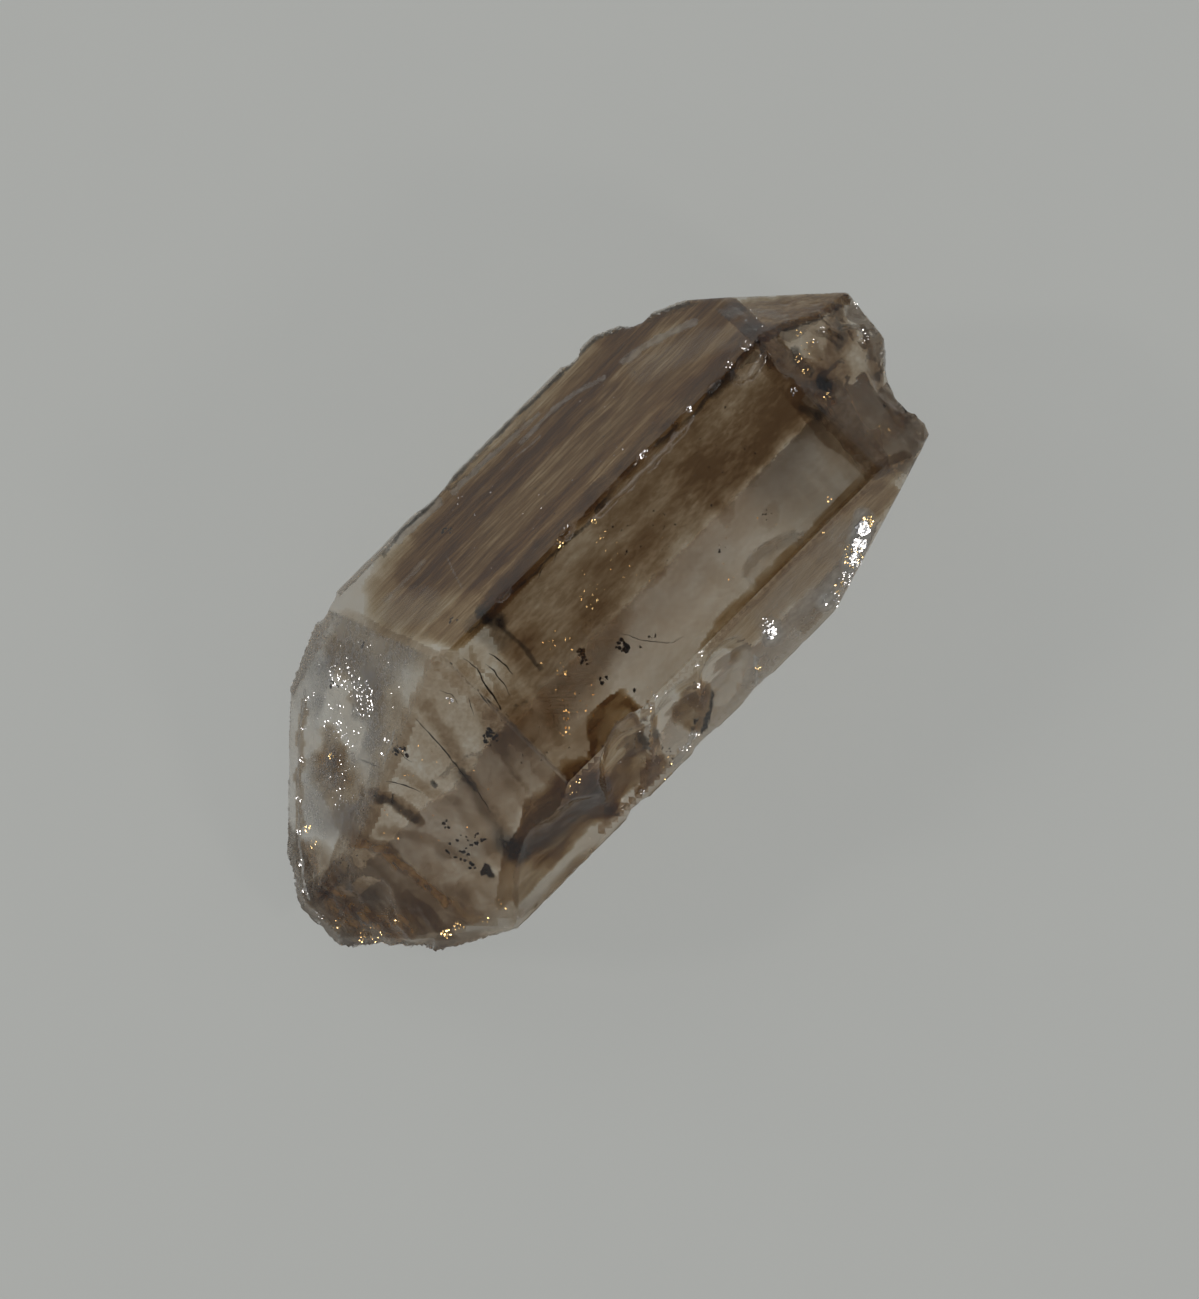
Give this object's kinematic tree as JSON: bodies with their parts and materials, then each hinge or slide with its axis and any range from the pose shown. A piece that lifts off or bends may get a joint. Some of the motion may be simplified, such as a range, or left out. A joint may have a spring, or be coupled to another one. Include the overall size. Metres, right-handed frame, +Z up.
{
  "type": "double terminated smoky quartz crystal",
  "caption": "Loose see-through smoky brown quartz crystal, pointed at both ends, lying on one prism face, with chipped edges and a broken tip.",
  "frame": {"origin": "the middle of the crystal's outline seen from above, on the surface that it lies on", "axes": "+X along the crystal's long axis towards the end that is the more complete, +Z up from the prism face that it rests on"},
  "size_m": [0.0403, 0.018, 0.0152],
  "materials": {
    "smoky_quartz": "glassy crystal faces, with rough breaks at the ends"
  },
  "bodies": {
    "root": {"quartz_crystal": "smoky_quartz"}
  },
  "joints": []
}
